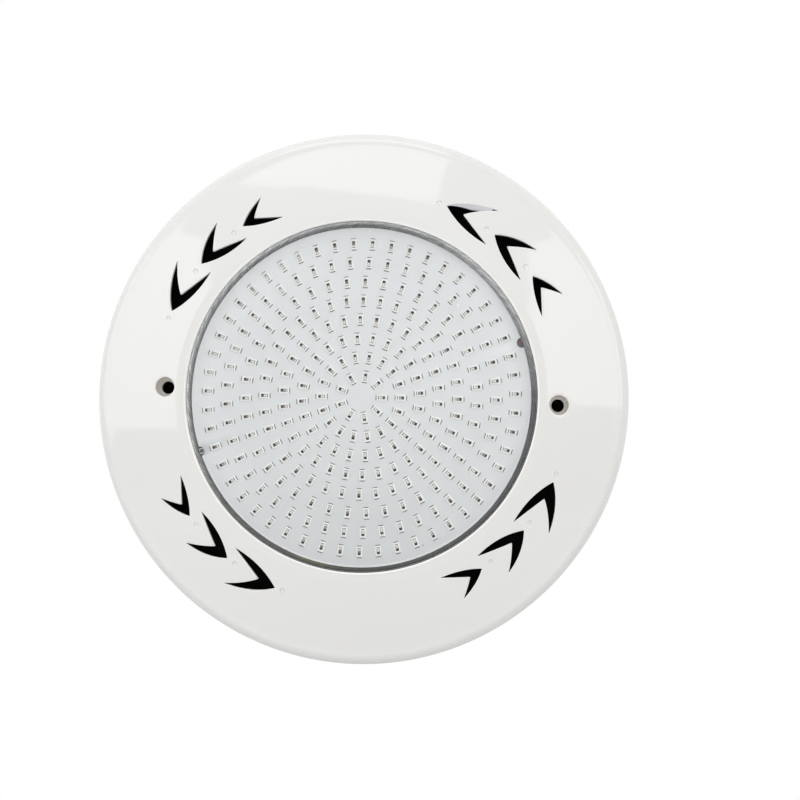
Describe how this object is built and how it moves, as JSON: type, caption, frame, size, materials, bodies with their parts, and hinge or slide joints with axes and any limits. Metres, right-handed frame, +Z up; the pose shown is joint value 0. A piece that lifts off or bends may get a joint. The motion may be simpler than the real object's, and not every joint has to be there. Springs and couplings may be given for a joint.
{
  "type": "underwater pool light",
  "caption": "Round surface-mounted underwater pool light: white vented face ring, clear lens over concentric rings of LEDs, potted housing, cable gland and wall bracket.",
  "frame": {"origin": "centre of the wall bracket's back face, which sits against the pool wall", "axes": "+Y points into the wall, the light shines along -Y, +X to the right seen from the front, +Z up"},
  "size_m": [0.29, 0.0475, 0.29],
  "materials": {
    "white_abs": "glossy moulded, very slightly warm white",
    "black_abs": "satin moulded black",
    "housing_grey": "satin moulded dark grey",
    "clear_pc": "polished clear",
    "clear_resin": "cured clear, glossy",
    "dark_resin": "cured potting",
    "board_white": "white solder mask, satin",
    "led_package": "cream white moulded",
    "seal_rubber": "matt",
    "gasket_silicone": "matt translucent",
    "steel": "plain stainless",
    "copper_steel": "copper plated",
    "brass": "knurled",
    "pcb_green": "solder mask",
    "chip_black": "moulded epoxy",
    "can_blue": "sleeved can",
    "ferrite": "ferrite with enamelled wire",
    "wire_red": "insulation",
    "wire_black": "insulation"
  },
  "bodies": {
    "bracket": {"wall_bracket": "black_abs", "bracket_insert_right": "brass", "bracket_insert_left": "brass"},
    "lamp": {"face_ring": "white_abs", "rear_housing": "housing_grey", "lens_gasket": "gasket_silicone", "lens_cover": "clear_pc", "front_resin": "clear_resin", "led_board": "board_white", "board_screw_1": "copper_steel", "board_screw_2": "steel", "rear_resin": "dark_resin", "driver_board": "pcb_green", "bridge_rectifier": "chip_black", "choke_coil": "ferrite", "capacitor_1": "can_blue", "capacitor_2": "can_blue", "driver_ic": "chip_black", "led_lead_positive": "wire_red", "led_lead_negative": "wire_black", "gland_body": "black_abs", "gland_oring": "seal_rubber", "gland_locknut": "black_abs", "gland_seal": "seal_rubber", "gland_nut": "black_abs", "led_ring_1": "led_package", "led_ring_2": "led_package", "led_ring_3": "led_package", "led_ring_4": "led_package", "led_ring_5": "led_package", "led_ring_6": "led_package", "led_ring_7": "led_package", "led_ring_8": "led_package", "ring_screw_1": "steel", "ring_screw_2": "steel", "ring_screw_3": "steel", "ring_screw_4": "steel"}
  },
  "joints": [
    {"name": "lamp_pull_off", "type": "slide", "parent": "bracket", "child": "lamp", "axis": [0, -1, 0], "range_m": [0, 0.06]}
  ]
}
